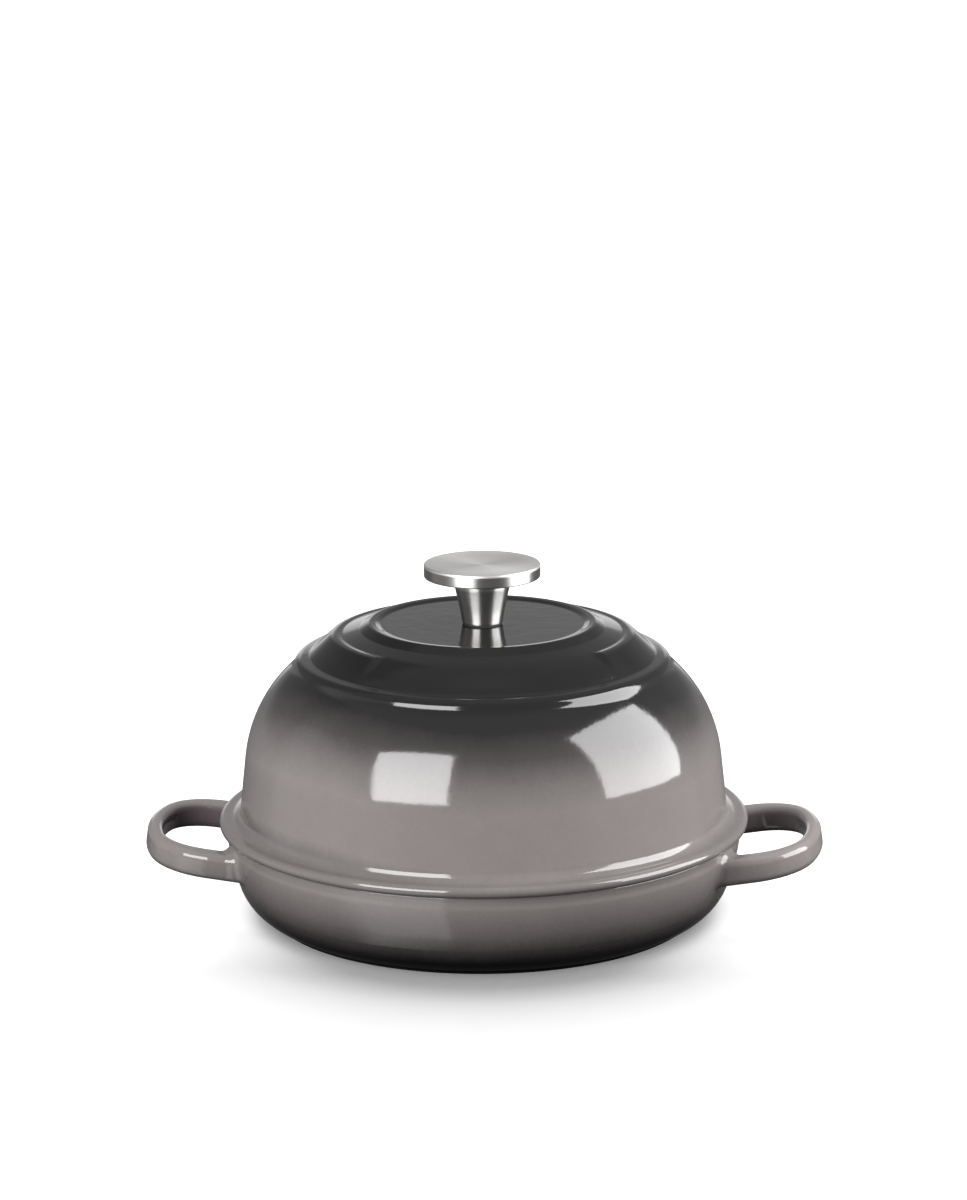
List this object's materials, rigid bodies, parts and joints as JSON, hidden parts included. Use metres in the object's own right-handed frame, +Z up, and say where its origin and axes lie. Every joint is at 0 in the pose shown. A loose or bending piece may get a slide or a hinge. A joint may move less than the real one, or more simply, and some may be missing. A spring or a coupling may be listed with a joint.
{
  "type": "bread oven with domed lid",
  "caption": "Shallow round pan with two loop handles and a tall domed lid with a stepped top and a steel knob, in grey enamelled cast iron.",
  "frame": {"origin": "centre of the pan's foot ring, on the surface that the pan stands on", "axes": "+Z up along the axis of pan, lid and knob; +X towards the right handle seen from the front; the front faces -Y"},
  "size_m": [0.3336, 0.26, 0.1749],
  "materials": {
    "grey_enamel": "gloss enamel outside, darkening towards the foot and the top; matt black enamel inside",
    "knob_steel": "fine turned satin",
    "fastener_steel": "bright",
    "gasket_rubber": "matt silicone"
  },
  "bodies": {
    "pan": {"base_pan": "grey_enamel"},
    "lid": {"dome_lid": "grey_enamel", "stem_gasket": "gasket_rubber", "knob_stem": "knob_steel", "knob_disc": "knob_steel", "knob_screw": "fastener_steel", "screw_washer": "fastener_steel", "lock_washer": "fastener_steel"}
  },
  "joints": [
    {"name": "lid_lift", "type": "slide", "parent": "pan", "child": "lid", "axis": [0, 0, 1], "range_m": [0, 0.2]}
  ]
}
